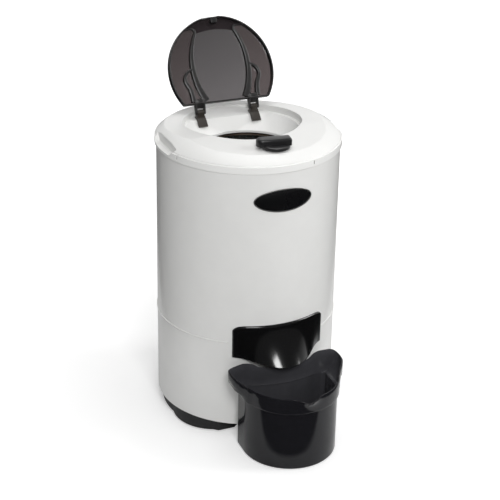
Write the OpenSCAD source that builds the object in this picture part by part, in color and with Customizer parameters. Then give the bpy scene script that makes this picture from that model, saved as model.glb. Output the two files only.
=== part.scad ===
// Upright laundry spin dryer with a rinse-water bucket standing under its outlet.
// Millimetres, +Z up, front towards -Y, origin on the drum axis at floor level.

/* [Casing] */
// Outer radius of the sheet casing
casing_radius = 172.5; // [172:0.5:174]
// Thickness of the casing sheet
casing_sheet = 1.2; // [0.8:0.1:1.5]
// Height of the bottom edge of the casing above the floor
casing_foot = 28; // [27:0.5:30]
// Height of the rolled seam between lower and upper casing
seam_height = 203; // [200:1:206]
// Height of the bottom edge of the top cover
cover_height = 543; // [535:1:555]

/* [Base] */
// Radius of the round back of the base
base_radius = 164; // [162:0.5:165]
// Radius of the bay in the base that the bucket stands in
bay_radius = 114; // [112:0.5:116]
// Wall and floor thickness of the base
base_wall = 3; // [2.5:0.5:4]
// Height of the rubber feet
foot_height = 3; // [3:0.5:4]

/* [Top cover] */
// Radius of the round loading opening
opening_radius = 112; // [111:0.5:113]
// How far the loading opening sits behind the drum axis
opening_shift = 31; // [30:0.5:32]
// Wall thickness of the moulded cover
cover_wall = 3; // [2.5:0.25:3.25]
// Radius of the mouth of the funnel above the drum
mouth_radius = 90; // [86:1:92]
// Depth of the hand grips measured from the casing radius
grip_depth = 11.5; // [9:0.5:12]

/* [Lid] */
// Radius of the lid outline
lid_radius = 106; // [105.5:0.25:107.5]
// Thickness of the lid panel
lid_panel_thickness = 3; // [2.5:0.25:3.5]
// Lean of the opened lid, measured from the closed direction to the front
lid_open_angle = 120; // [90:1:122]
// Radius of the two hinge pins
hinge_pin_radius = 2; // [1.5:0.1:2.2]

/* [Knob] */
// Radius of the round skirt of the knob
knob_radius = 27; // [22:0.5:29]
// Height of the grip bar of the knob
grip_height = 13; // [12:0.5:18]
// How far the grip bar is turned clockwise on the knob, in degrees.
grip_turn = 9; // [0:1:12]

/* [Drum and tub] */
// Outer radius of the drum basket
drum_radius = 125; // [118:0.5:130]
// Radius of the holes in the drum wall
drum_hole_radius = 3.2; // [2.5:0.1:4]
// Outer radius of the tub around the drum
tub_radius = 150; // [149:0.25:150.5]
// Height of the underside of the tub
tub_floor = 169; // [168.5:0.25:170]

/* [Spout] */
// Half of the angle that the spout covers on the casing
spout_half_angle = 32; // [31:0.5:36]
// How far the nose of the spout stands out from its edges
nose_reach = 37.5; // [34:0.5:38]
// Height of the top edge of the spout
spout_top = 239; // [236:0.5:244]

/* [Badge] */
// Width of the blank oval badge
badge_width = 113; // [90:1:120]
// Height of the blank oval badge
badge_height = 44; // [36:1:50]

/* [Bucket] */
// Radius of the round front of the bucket body
bucket_radius = 90; // [84:0.5:90.5]
// Height of the rim of the bucket
bucket_rim = 151; // [140:0.5:152]
// Wall thickness of the bucket
bucket_wall = 2.2; // [1.8:0.1:3]
// Turn of the bucket on the floor
bucket_turn = -1.5; // [-6:0.5:2]

/* [Motor] */
// Radius of the motor and drum shaft
shaft_radius = 8; // [7:0.25:9]
// Outer radius of the stator core
stator_radius = 58; // [57:0.25:60]
// Radius of the brake drum
brake_radius = 48; // [44:0.5:48]

/* [Hidden] */
$fn = 96;
band_radius = casing_radius + 3.1;
cap_radius = casing_radius + 0.3;
shoulder_centre = casing_radius - 54.5;
shoulder_radius = 81.5;
casing_top = cover_height + 3;
base_floor = foot_height + base_wall;
crease_y = -41;
crease_rise = 34;
front_fall = tan(2.6);
rear_fall = tan(4);
lid_slope = 3;
ledge_back = opening_shift + 73;
ledge_radius = opening_radius - 5;
hinge_y = 107.9;
hinge_rise = 24.9;
hinge_x = 55;
knob_y = -126;
arm_low = 22.5;
arm_high = 26;
tub_top = cover_height - 20;
drum_low = tub_floor + 28;
drum_top = cover_height - 27;
bucket_x = 3.5;
bucket_y = -212;
post_circle = 140;
brake_pivot_at = [58, -42];
lever_low = 142;
fit = 0.05;

// Point at a radius and an angle counted from the front towards +X.
function at(r, az, z = 0) = [r * sin(az), -r * cos(az), z];
// Height of the lid ledge above the bottom edge of the cover.
function ledge(y) = 11 + (108 - y) * tan(lid_slope);
// Share of the spout's reach at an angle from its middle.
function swell(az) = abs(az) >= 30 ? 0 : pow(cos(3 * az), 2);
function oval(a, b) = [for (i = [0:71]) [a * cos(5 * i), b * sin(5 * i)]];

module tube(outer, inner, low, high) {
    translate([0, 0, low])
        difference() {
            cylinder(r = outer, h = high - low);
            translate([0, 0, -1]) cylinder(r = inner, h = high - low + 2);
        }
}

// Turns the local +Z axis outwards at an angle from the front, local +Y stays up.
module radial(az, z) {
    translate([0, 0, z]) rotate([90, 0, az]) children();
}

// Extrudes an outline drawn in Y and Z from one X to another.
module side_prism(from, to, outline) {
    translate([from, 0, 0])
        rotate([90, 0, 90])
            linear_extrude(to - from) polygon(outline);
}

module rod(p, q, r) {
    d = q - p;
    translate(p)
        rotate([0, acos(d[2] / norm(d)), atan2(d[1], d[0])])
            cylinder(r = r, h = norm(d));
}

module run(points, r) {
    for (i = [0:len(points) - 2]) rod(points[i], points[i + 1], r);
    for (p = points) translate(p) sphere(r = 1.08 * r);
}

// Part of a ring of round wire between two angles from the front.
module bow(radius, r, from, to, z) {
    translate([0, 0, z])
        rotate([0, 0, from - 90])
            rotate_extrude(angle = to - from)
                translate([radius, 0]) circle(r = r);
}

module base_plan(inset) {
    difference() {
        intersection() {
            union() {
                circle(r = base_radius - inset);
                for (s = [-1, 1]) translate([s * 82, -44]) circle(r = 81 - inset);
            }
            translate([-200, -126.5 + inset]) square([400, 400]);
        }
        translate([bucket_x, bucket_y]) circle(r = bay_radius + inset);
    }
}

// Black moulded base with a bay for the bucket and a middle pad that reaches the floor.
module base_tray() {
    color("#1c1c1e")
    difference() {
        union() {
            translate([0, 0, foot_height])
                linear_extrude(casing_foot - foot_height) base_plan(0);
            cylinder(r = 25, h = base_floor);
        }
        translate([0, 0, base_floor]) linear_extrude(casing_foot) base_plan(base_wall);
        for (az = [60, 180, 300])
            translate(at(post_circle, az, -1)) cylinder(r = 2.5, h = base_floor + 2);
    }
}

module rubber_feet() {
    color("#222222")
    for (p = [[-95, -60], [95, -60], [-85, 105], [85, 105]])
        translate([p[0], p[1], 0]) cylinder(r1 = 11, r2 = 13, h = foot_height);
}

module base_screws() {
    color("#b0b0b0")
    for (az = [60, 180, 300])
        translate(at(post_circle, az, foot_height)) {
            translate([0, 0, -2]) cylinder(r = 5, h = 2);
            cylinder(r = 2.5, h = base_wall + 14);
        }
}

// Lower casing drum of painted sheet with a turned-in bottom flange and the outlet window.
module lower_casing() {
    color("#e6e6e6")
    difference() {
        union() {
            tube(casing_radius, casing_radius - casing_sheet, casing_foot, seam_height);
            tube(casing_radius, 150, casing_foot, casing_foot + casing_sheet);
        }
        translate([-35.2, -200, tub_floor - 0.2]) cube([70.4, 60, 27.4]);
        for (az = [-22, 22])
            radial(az, 190) translate([0, 0, 160]) cylinder(r = 1.75, h = 20);
        radial(160, 60) translate([0, 0, 160]) cylinder(r = 9, h = 20);
    }
}

// Upper casing drum; its rolled bead covers the seam and stops at the spout.
module upper_casing() {
    color("#eeeeee")
    difference() {
        rotate_extrude()
            polygon([
                [casing_radius - casing_sheet, seam_height],
                [casing_radius, seam_height],
                [casing_radius, seam_height - 1.6],
                [casing_radius + 1.5, seam_height - 0.8],
                [casing_radius + 1.5, seam_height + 1],
                [casing_radius, seam_height + 1.8],
                [casing_radius, casing_top],
                [casing_radius - casing_sheet, casing_top]
            ]);
        translate([0, 0, seam_height - 3])
            rotate([0, 0, -90 - spout_half_angle - 1])
                rotate_extrude(angle = 2 * spout_half_angle + 2)
                    translate([casing_radius, 0]) square([5, 6]);
    }
}

// Space below the two sloping planes of the cover top, lowered by a distance.
module roof(drop) {
    side_prism(-200, 200, [
        [-200, -10],
        [-200, crease_rise - drop - (crease_y + 200) * front_fall],
        [crease_y, crease_rise - drop],
        [200, crease_rise - drop - (200 - crease_y) * rear_fall],
        [200, -10]
    ]);
}

// Rounded body of the cover, shrunk by a distance.
module cover_body(inset) {
    intersection() {
        rotate_extrude() {
            square([shoulder_centre, shoulder_radius - 45 - inset]);
            intersection() {
                translate([shoulder_centre, -45]) circle(r = shoulder_radius - inset);
                translate([shoulder_centre - 1, 0])
                    square([cap_radius - inset - shoulder_centre + 1, 60]);
            }
        }
        roof(inset);
    }
}

// Hand grip recess in the band and shoulder, cut from a flat face outwards.
module grip(side, margin, from, to) {
    outline = [
        [-55 - margin, 24 + margin], [55 + margin, 24 + margin],
        [38 + margin, 6 - margin], [-38 - margin, 6 - margin]
    ];
    rotate([0, 0, side < 0 ? 180 : 0]) side_prism(from, to, outline);
}

module cover_solids() {
    difference() {
        union() {
            cylinder(r = band_radius, h = 13.5);
            cover_body(0);
        }
        translate([0, 0, -1]) cylinder(r = casing_radius, h = 4);
        translate([0, 0, 2]) intersection() {
            cylinder(r = casing_radius - 2.5, h = 60);
            translate([0, 0, -2]) cover_body(cover_wall);
        }
    }
    intersection() {
        union() {
            translate([0, opening_shift, 0]) cylinder(r = opening_radius + 3, h = 50);
            for (s = [-1, 1]) grip(s, 3, casing_radius - grip_depth - 3, 180);
            tube(152, 149, 1, 50);
        }
        cover_body(0.5);
    }
    tube(152, 149, -17, 16);
    hull() {
        translate([0, opening_shift, 4]) cylinder(r = opening_radius + 1.5, h = 1, $fn = 64);
        translate([0, 0, -19]) cylinder(r = mouth_radius + 3, h = 1, $fn = 64);
    }
    translate([0, knob_y, 28]) cylinder(r = 12, h = 3.6);
}

// One-piece top cover: band, shoulder, roof with a crease, sunk lid ledge and funnel.
module top_cover() {
    color("#f2f2f2")
    translate([0, 0, cover_height])
    difference() {
        cover_solids();
        intersection() {
            translate([0, opening_shift, 0]) cylinder(r = opening_radius, h = 60);
            side_prism(-150, 150, [
                [-100, ledge(-100)], [ledge_back, ledge(ledge_back)],
                [ledge_back + 50, ledge(ledge_back) + 8], [ledge_back + 50, 70], [-100, 70]
            ]);
        }
        hull() {
            intersection() {
                translate([0, opening_shift, ledge(opening_shift) + 0.3])
                    rotate([-lid_slope, 0, 0]) cylinder(r = ledge_radius, h = 1, $fn = 64);
                translate([-150, ledge_back - 300.5, 0]) cube([300, 300, 40]);
            }
            translate([0, 0, -14.4]) cylinder(r = mouth_radius - 0.4, h = 0.2, $fn = 64);
        }
        translate([0, 0, -25]) cylinder(r = mouth_radius, h = 11.1);
        for (s = [-1, 1]) grip(s, 0, casing_radius - grip_depth, 185);
        translate([-47, -92, 21.8]) cube([54, 26, 4.9]);
        translate([0, knob_y, 15]) cylinder(r = 5 + fit, h = 20);
        for (az = [-70, 20, 110, 200])
            radial(az, 7.5) translate([-1, -3.5, 165]) cube([2, 7, 15]);
        radial(10, 9) translate([0, 0, 145]) cylinder(r = 2.5, h = 9);
        radial(-8, 13) translate([0, 0, 145]) cylinder(r = 1.8, h = 9);
    }
}

module cover_clips() {
    color("#2b2b2b")
    for (az = [-70, 20, 110, 200])
        radial(az, cover_height + 7.5) {
            translate([-1, -3.5, casing_radius - 3.5]) cube([2, 7, 4.6]);
            translate([-4, -4, casing_radius - 5.5]) cube([8, 8, 2]);
        }
}

// Blank oval badge that follows the casing.
module badge_plate() {
    color("#141414")
    intersection() {
        radial(0, cover_height - 53.5)
            translate([0, 0, 150])
                linear_extrude(40) polygon(oval(badge_width / 2 - 2, badge_height / 2 - 2));
        tube(casing_radius + 1.2, casing_radius, cover_height - 90, cover_height - 20);
    }
}

module badge_rim() {
    color("#b8b8b8")
    intersection() {
        radial(0, cover_height - 53.5)
            translate([0, 0, 150])
                linear_extrude(40)
                    difference() {
                        polygon(oval(badge_width / 2, badge_height / 2));
                        polygon(oval(badge_width / 2 - 2, badge_height / 2 - 2));
                    }
        tube(casing_radius + 1.8, casing_radius, cover_height - 90, cover_height - 20);
    }
}

// Hood over the outlet: edges lie on the casing, the nose swells out and down, open below.
spout_columns = 24;
spout_rows = 10;
function spout_az(i) = spout_half_angle * (2 * i / spout_columns - 1);
function spout_edge(az) = spout_top - 9 * pow(abs(az) / spout_half_angle, 7);
function spout_low(az) = 173.5 - 11 * swell(az);
function spout_z(az, v) = spout_edge(az) + (spout_low(az) - spout_edge(az)) * v;
function spout_r(az, v) = casing_radius + 2.2 + nose_reach * swell(az) * pow(v, 1.6);
function spout_out(i, j) =
    let (az = spout_az(i), v = j / spout_rows) at(spout_r(az, v), az, spout_z(az, v));
function spout_in(i, j) =
    let (az = spout_az(i), v = j / spout_rows)
    at(max(casing_radius + 0.08, spout_r(az, v) - 2.4), az, spout_z(az, v));

module spout_shell() {
    n = spout_columns + 1;
    m = spout_rows + 1;
    total = n * m;
    last = spout_rows;
    side = spout_columns;
    points = [
        for (i = [0:side]) for (j = [0:last]) spout_out(i, j),
        for (i = [0:side]) for (j = [0:last]) spout_in(i, j)
    ];
    faces = [
        for (i = [0:side - 1]) for (j = [0:last - 1])
            for (f = [
                [i * m + j, (i + 1) * m + j, (i + 1) * m + j + 1],
                [i * m + j, (i + 1) * m + j + 1, i * m + j + 1]
            ]) f,
        for (i = [0:side - 1]) for (j = [0:last - 1])
            for (f = [
                [i * m + j, (i + 1) * m + j + 1, (i + 1) * m + j],
                [i * m + j, i * m + j + 1, (i + 1) * m + j + 1]
            ]) [for (k = f) k + total],
        for (i = [0:side - 1]) for (e = [0, 1])
            let (j = e * last, a = i * m + j, b = (i + 1) * m + j)
            for (f = [[a, a + total, b + total], [a, b + total, b]])
                e == 0 ? f : [f[0], f[2], f[1]],
        for (j = [0:last - 1]) for (e = [0, 1])
            let (i = e * side, a = i * m + j, b = i * m + j + 1)
            for (f = [[a, b + total, a + total], [a, b, b + total]])
                e == 0 ? f : [f[0], f[2], f[1]]
    ];
    polyhedron(points = points, faces = faces, convexity = 6);
}

module spout() {
    color("#161616") {
        spout_shell();
        for (az = [-22, 22])
            radial(az, 190)
                translate([0, 0, casing_radius + 0.1])
                    difference() {
                        cylinder(r = 4, h = 3.6);
                        translate([0, 0, -1]) cylinder(r = 1.75, h = 4);
                    }
    }
}

module spout_screws() {
    color("#b0b0b0")
    for (az = [-22, 22])
        radial(az, 190) {
            translate([0, 0, casing_radius - 5]) cylinder(r = 1.75, h = 8.1);
            translate([0, 0, casing_radius - casing_sheet - 2.6]) cylinder(r = 3.5, h = 2.5);
        }
}

module support_posts() {
    color("#9a9c9e")
    for (az = [60, 180, 300])
        translate(at(post_circle, az, 0))
            difference() {
                union() {
                    translate([0, 0, base_floor]) cylinder(r = 7, h = tub_floor - base_floor);
                    translate([0, 0, 118]) cylinder(r = 11, h = 4);
                }
                translate([0, 0, base_floor - 1]) cylinder(r = 2.5, h = 15);
            }
}

module rubber_mounts() {
    color("#1e1e1e")
    for (az = [60, 180, 300])
        translate(at(post_circle, az, 122))
            rotate_extrude()
                polygon([[7, 0], [13, 0], [13, 6], [10, 6], [10, 9], [13, 9], [13, 15], [7, 15]]);
}

module motor_plate() {
    color("#a8aaac")
    translate([0, 0, 128])
        linear_extrude(3)
            difference() {
                union() {
                    circle(r = 118);
                    for (az = [60, 180, 300])
                        rotate([0, 0, az]) {
                            translate([-15, -post_circle]) square([30, 60]);
                            translate([0, -post_circle]) circle(r = 15);
                        }
                }
                circle(r = 22);
                for (az = [60, 180, 300]) rotate([0, 0, az]) translate([0, -post_circle]) circle(r = 10);
                for (a = [45:90:315]) rotate([0, 0, a]) translate([54, 0]) circle(r = 2);
                for (a = [0:60:300]) rotate([0, 0, a]) translate([88, 0]) circle(r = 12);
            }
}

module stator_core() {
    color("#74777a")
    translate([0, 0, 66])
        linear_extrude(48)
            difference() {
                circle(r = stator_radius);
                circle(r = 33);
                for (a = [45:90:315]) rotate([0, 0, a]) translate([54, 0]) circle(r = 2);
                for (a = [0:30:330]) rotate([0, 0, a]) translate([32, -2]) square([15, 4]);
            }
}

module stator_windings() {
    color("#a55a2a") {
        tube(50, 37, 56, 66);
        tube(50, 37, 114, 123);
    }
}

module motor_bell(low, wall_high, seat_low, seat_high, disc_low) {
    difference() {
        union() {
            tube(stator_radius + 2.5, stator_radius, low, wall_high);
            tube(stator_radius + 1, 20.5, disc_low, disc_low + 3);
            tube(21, 17, seat_low, seat_high);
        }
        for (a = [45:90:315])
            rotate([0, 0, a]) translate([54, 0, disc_low - 1]) cylinder(r = 2, h = 5);
    }
}

module motor_bell_top() {
    color("#8d9093") motor_bell(96, 128, 116, 128, 125);
}

module motor_bell_bottom() {
    color("#8d9093") motor_bell(44, 84, 44, 56, 44);
}

module motor_bolts() {
    color("#c2c4c6")
    for (a = [45:90:315])
        rotate([0, 0, a]) translate([54, 0, 0]) {
            translate([0, 0, 42.5]) cylinder(r = 2, h = 90);
            translate([0, 0, 41]) cylinder(r = 4, h = 3);
            translate([0, 0, 131]) cylinder(r = 4.2, h = 2.6, $fn = 6);
        }
}

module bearing(low) {
    tube(17, 14, low, low + 10);
    tube(14.2, 10.8, low + 1, low + 9);
    tube(11, shaft_radius + 0.02, low, low + 10);
}

module bearing_upper() {
    color("#b9bcc0") bearing(117);
}

module bearing_lower() {
    color("#b9bcc0") bearing(45);
}

// Fixed tub that catches the water, with the outlet channel towards the spout.
module tub() {
    color("#d7dde0")
    difference() {
        union() {
            tube(tub_radius, tub_radius - 2.5, tub_floor, tub_top);
            tube(tub_radius - 1, 18, tub_floor, tub_floor + 3);
            tube(21, 18, tub_floor, tub_floor + 17);
            translate([-35, -176, tub_floor]) cube([70, 34, 27]);
        }
        translate([-32.5, -180, tub_floor + 3]) cube([65, 42, 21.5]);
        translate([0, 0, tub_floor + 3]) cylinder(r = tub_radius - 2.5, h = 100);
    }
    color("#d7dde0") tube(21, 18, tub_floor, tub_floor + 17);
}

module tub_gasket() {
    color("#2a2a2a") tube(tub_radius + 2, tub_radius - 2.5, tub_top, cover_height - 17);
}

module shaft_seal() {
    color("#262626") tube(18, shaft_radius + fit, tub_floor, tub_floor + 11);
}

module brake_pivot() {
    color("#c2c4c6")
    translate([brake_pivot_at[0], brake_pivot_at[1], 131]) {
        cylinder(r = 6, h = lever_low - 131 - 0.5);
        cylinder(r = 4, h = lever_low - 131 + 8);
        translate([0, 0, lever_low - 131 + 5.5]) cylinder(r = 7, h = 2.5);
    }
}

module brake_spring() {
    color("#8f9296")
    translate([brake_pivot_at[0], brake_pivot_at[1], 131.9]) {
        for (k = [0:4])
            translate([0, 0, 1.5 * k]) rotate_extrude() translate([7.1, 0]) circle(r = 0.9);
        rod([7.1, 0, 0], [7.1, -14, 0], 0.9);
    }
}

module cable_bracket() {
    color("#a8aaac")
    difference() {
        translate([90, 31, 131]) cube([8, 12, 19]);
        translate([85, 37, 145]) rotate([0, 90, 0]) cylinder(r = 1, h = 20);
    }
}

// Brake cable sheath from the bracket, up beside the tub and round to the knob.
module brake_cable() {
    color("#2f2f2f") {
        run([[99.9, 37, 145], at(157, 111, 150), at(157, 111, cover_height - 6)], 1.8);
        bow(157, 1.8, -8, 111, cover_height - 6);
        run([at(157, -8, cover_height - 6), at(157, -8, cover_height + 13)], 1.8);
        rod(at(157, -8, cover_height + 13), at(140, -8, cover_height + 13), 1.8);
    }
}

module capacitor() {
    color("#d0d2d4")
    translate([-90, 80, base_floor]) {
        cylinder(r = 18, h = 68);
        for (s = [-1, 1]) translate([s * 6, 0, 60]) cylinder(r = 2, h = 14);
    }
}

module capacitor_clip() {
    color("#a8aaac") {
        translate([-90, 80, 0]) tube(19.5, 18, base_floor + 26, base_floor + 34);
        translate([-90 - 5, 80 + 18.3, base_floor]) cube([10, 1.2, 30]);
    }
}

module terminal_block() {
    color("#efe9dc")
    difference() {
        translate([60, 80, base_floor]) cube([40, 20, 18]);
        for (k = [0:2])
            translate([68 + 12 * k, 90, base_floor + 12]) cylinder(r = 3, h = 10);
    }
}

module wiring_loom() {
    color("#7d7d7d") {
        run([at(155, 160, 60), [70, 112, 60], [64, 90, base_floor + 20.7]], 2.5);
        run([[95, 84, base_floor + 20.7], [84, 60, 50], [51.2, 37.2, 62]], 2.5);
        run([[-79, 97.6, 15], [38, 101, 16], [57.3, 91, 15.5]], 2.5);
        run([[70, 112, 60], at(165, 147, 76), at(165, 147, cover_height - 13)], 2.5);
        bow(165, 2.5, 10, 147, cover_height - 13);
        run([at(165, 10, cover_height - 13), at(165, 10, cover_height + 9)], 2.5);
        rod(at(165, 10, cover_height + 9), at(146.5, 10, cover_height + 9), 2.5);
    }
}

module cable_clips() {
    color("#dddddd")
    for (z = [240, 420])
        for (c = [[111, 5.1], [147, 12.4]])
            radial(c[0], z)
                translate([-4, -4, tub_radius])
                    cube([8, 8, c[1]]);
}

module cord_gland() {
    color("#1c1c1e")
    radial(160, 60)
        difference() {
            union() {
                translate([0, 0, 157]) cylinder(r = 9, h = 20);
                translate([0, 0, casing_radius + 0.1]) cylinder(r = 13, h = 3.5);
                translate([0, 0, 164]) cylinder(r = 12.5, h = casing_radius - casing_sheet - 164.6, $fn = 6);
            }
            translate([0, 0, 170]) cylinder(r = 4.5, h = 10);
        }
}

module lid_switch() {
    color("#ece8de")
    translate([0, 0, cover_height])
        intersection() {
            translate([14, -144, 3]) cube([22, 20, 40]);
            roof(cover_wall);
        }
}

// Hinge bracket on the floor behind the lid, with a foot plate down the funnel wall.
module hinge_bracket(side) {
    back = ledge_back;
    low = ledge(back);
    translate([side * hinge_x, 0, cover_height])
        difference() {
            union() {
                side_prism(-9.5, 9.5, [
                    [back - 0.8, low + 0.05], [back, low + 0.01],
                    [back + 10, low + 1.6], [back + 10, low + 4.4],
                    [back - 0.9, low + 3.4], [back - 14.4, low - 9.3], [back - 12.8, low - 11.15]
                ]);
                side_prism(-6.5, 6.5, [
                    [hinge_y - 4.5, low + 2], [hinge_y + 4.5, low + 2],
                    [hinge_y + 4.5, hinge_rise], [hinge_y - 4.5, hinge_rise]
                ]);
                side_prism(-8.5, 8.5, [
                    [back - 1, low + 2.5], [back + 9, low + 2.5],
                    [back + 8.4, low + 7.5], [back - 0.4, low + 7.5]
                ]);
                translate([-6.5, hinge_y, hinge_rise]) rotate([0, 90, 0]) cylinder(r = 5, h = 13);
            }
            translate([-12, hinge_y, hinge_rise])
                rotate([0, 90, 0]) cylinder(r = hinge_pin_radius + fit, h = 24);
        }
}

module hinge_bracket_left() {
    color("#2d2a28") hinge_bracket(-1);
}

module hinge_bracket_right() {
    color("#2d2a28") hinge_bracket(1);
}

module motor_shaft() {
    color("#c9ccd0") {
        translate([0, 0, 26]) cylinder(r = shaft_radius, h = drum_low + 27 - 26);
    }
}

module rotor_core() {
    color("#6d7074") {
        tube(32.2, shaft_radius, 66, 114);
        tube(30, 24, 60, 120);
    }
}

module cooling_fan() {
    color("#3a3a3c") {
        tube(14, shaft_radius, 29, 41);
        tube(45, 13.5, 29, 30.5);
        for (a = [0:40:320])
            rotate([0, 0, a]) translate([13, -0.9, 30]) rotate([0, 0, 18]) cube([30, 1.8, 9]);
    }
}

module brake_drum() {
    color("#7b7e82") {
        tube(brake_radius, shaft_radius, 136, 139);
        tube(brake_radius, brake_radius - 3, 136, 154);
        tube(16, shaft_radius, 136, 152);
    }
}

module drum_hub() {
    color("#9da0a3") {
        tube(60, shaft_radius, drum_low - 4, drum_low);
        tube(20, shaft_radius, drum_low - 8, drum_low + 14);
    }
}

// Perforated spin basket.
module drum_basket() {
    color("#c6c9cc")
    difference() {
        union() {
            tube(drum_radius, drum_radius - 1, drum_low, drum_top);
            tube(drum_radius - 0.5, 20, drum_low, drum_low + 1);
        }
        for (k = [0:4])
            for (a = [0:22.5:157.5])
                translate([0, 0, drum_low + 40 + 58 * k])
                    rotate([90, 0, a + 11.25 * (k % 2)])
                        translate([0, 0, -150]) cylinder(r = drum_hole_radius, h = 300);
        for (a = [0:45:315])
            rotate([0, 0, a]) translate([90, 0, drum_low - 1]) cylinder(r = drum_hole_radius, h = 3);
    }
}

// Folded ring that closes the basket towards its mouth.
module drum_rim() {
    color("#3b3532")
    rotate_extrude()
        polygon([
            [mouth_radius + 5, drum_top + 1.5], [drum_radius - 1, drum_top],
            [drum_radius, drum_top], [drum_radius, drum_top - 11],
            [drum_radius + 1.8, drum_top - 11], [drum_radius + 1.8, drum_top + 2.2],
            [drum_radius - 1, drum_top + 3.5], [mouth_radius + 7, drum_top + 4.5],
            [mouth_radius + 5, drum_top + 3.5]
        ]);
}

module drum_nut() {
    color("#c2c4c6")
    translate([0, 0, drum_low + 14])
        difference() {
            cylinder(r = 17, h = 9, $fn = 6);
            translate([0, 0, -1]) cylinder(r = shaft_radius, h = 11);
        }
}

module brake_lever() {
    color("#a8aaac")
    translate([0, 0, lever_low])
        linear_extrude(5)
            difference() {
                union() {
                    translate([brake_radius + 6.4, -42]) square([7.6, 76]);
                    translate(brake_pivot_at) circle(r = 9);
                    translate([brake_radius + 10.2, 34]) circle(r = 3.8);
                }
                translate(brake_pivot_at) circle(r = 4 + fit);
            }
}

module brake_pad() {
    color("#57493f")
    translate([0, 0, lever_low - 2])
        linear_extrude(9)
            difference() {
                translate([brake_radius - 4, -12]) square([10.4, 24]);
                circle(r = brake_radius + 0.4);
            }
}

// Puts a lid drawn flat behind its hinge line into its opened place.
module lid_place() {
    translate([0, hinge_y, cover_height + hinge_rise]) rotate([-lid_open_angle, 0, 0]) children();
}

module lid_plan(inset) {
    intersection() {
        translate([0, -75]) circle(r = lid_radius - inset);
        translate([-150, -300]) square([300, 300 - 14 - inset]);
    }
}

module lid_rib_plan() {
    for (s = [-1, 1])
        scale([s, 1]) {
            intersection() {
                translate([-83.5, -85])
                    difference() {
                        circle(r = 143.5);
                        circle(r = 137.5);
                    }
                translate([30, -153]) square([40, 133]);
            }
            translate([38, -163]) square([24, 6]);
            translate([66, -62])
                difference() {
                    circle(r = 13);
                    circle(r = 9);
                }
        }
    translate([-40, -156]) square([80, 4]);
}

// Smoked lid: disc with a straight hinge side, rim wall, curved ribs and hinge arms.
module lid_panel() {
    under = 1 - lid_panel_thickness;
    color("#3c3838")
    lid_place()
    difference() {
        union() {
            translate([0, 0, under]) linear_extrude(lid_panel_thickness) lid_plan(0);
            translate([0, 0, -12])
                linear_extrude(12)
                    difference() {
                        lid_plan(0);
                        lid_plan(3);
                    }
            translate([0, 0, -10])
                linear_extrude(10)
                    intersection() {
                        lid_rib_plan();
                        lid_plan(1);
                    }
            for (s = [-1, 1])
                translate([s * hinge_x, 0, 0]) {
                    for (c = [-10, 6.8]) {
                        translate([c, 0, 0]) rotate([0, 90, 0]) cylinder(r = 4.5, h = 3.2);
                        side_prism(c, c + 3.2, [
                            [0, 4], [-24, 0.9], [-24, -10.4], [-16, -9.6], [-2, -3.8]
                        ]);
                    }
                    side_prism(-7.4, 7.4, [[-7.2, 2.6], [-24, 0.7], [-24, -9.4], [-16, -8.6], [-7.2, -5]]);
                }
        }
        translate([-25, -190, -13]) cube([37, 14, 6.5]);
        for (s = [-1, 1])
            translate([s * hinge_x - 12, 0, 0])
                rotate([0, 90, 0]) cylinder(r = hinge_pin_radius, h = 24);
    }
}

module lid_latch_lug() {
    low = 1 - lid_panel_thickness;
    color("#141414")
    lid_place() {
        translate([-8, -174, -17]) cube([14, 4, 17 + low]);
        translate([-8, -181.5, -17]) cube([14, 11.5, 4.7]);
    }
}

module hinge_pins() {
    color("#c2c4c6")
    lid_place()
        for (s = [-1, 1])
            translate([s * hinge_x - 10, 0, 0])
                rotate([0, 90, 0]) cylinder(r = hinge_pin_radius, h = 20);
}

// Turning knob with a raised grip bar, rounded at one end.
module control_knob() {
    color("#2a2a2a")
    translate([0, knob_y, cover_height])
        difference() {
            union() {
                translate([0, 0, 32]) cylinder(r = knob_radius, h = 6);
                translate([0, 0, 37])
                    rotate([0, 0, -grip_turn])
                    linear_extrude(1 + grip_height) {
                        translate([-29, -11]) square([58, 22]);
                        translate([-29, 0]) circle(r = 11);
                    }
            }
            translate([0, 0, 30]) cylinder(r = 5, h = 6);
        }
}

module knob_spindle() {
    color("#c2c4c6") translate([0, knob_y, cover_height + 18]) cylinder(r = 5, h = 18);
}

// Latch arm that swings over the lug of the closed lid.
module latch_arm() {
    color("#a8aaac")
    translate([0, knob_y, cover_height + arm_low])
        linear_extrude(arm_high - arm_low)
            difference() {
                union() {
                    circle(r = 9);
                    translate([-58, -5]) square([58, 10]);
                }
                circle(r = 5);
            }
}

// Outline of the bucket; an ear's points carry the direction in which its wall is inset.
module bucket_plan(front, half, inset) {
    ear = [
        [half - 51, -28, 0, 0], [front - 4.3, -28, 0.9, 0.5], [half - 13.5, -14, 0.9, 0.5],
        [half - 6.5, -1, 0.9, 0.5], [half - 2, 12, 1, 0.2], [half, 24, 1, 0], [half, 33, 1, 0],
        [half - 2.5, 38, 0.7, -0.7], [half - 6.5, 41, 0.3, -1], [half - 51, 41, 0, -1]
    ];
    difference() {
        union() {
            intersection() {
                circle(r = front - inset);
                translate([-150, -150]) square([300, 150]);
            }
            translate([inset - front, -1]) square([2 * (front - inset), 61]);
            if (half > 0)
                for (s = [-1, 1])
                    polygon([for (p = ear) [s * (p[0] - inset * p[2]), p[1] + inset * p[3]]]);
        }
        translate([0, 212]) circle(r = 187 + inset);
        for (s = [-1, 1])
            translate([s * 150 - 50, 42 - inset]) square([100, 100]);
        translate([-150, 40 - inset]) square([300, 100]);
    }
}

// Space above the slanted undersides of the ears.
module ear_space(margin) {
    low = 94.5 - (20 + margin) / 1.1;
    high = 94.5 + (50 - margin) / 1.1;
    translate([0, 100, bucket_rim])
        rotate([90, 0, 0])
            linear_extrude(200) polygon([[-low, -51], [low, -51], [high, 19], [-high, 19]]);
}

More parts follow.
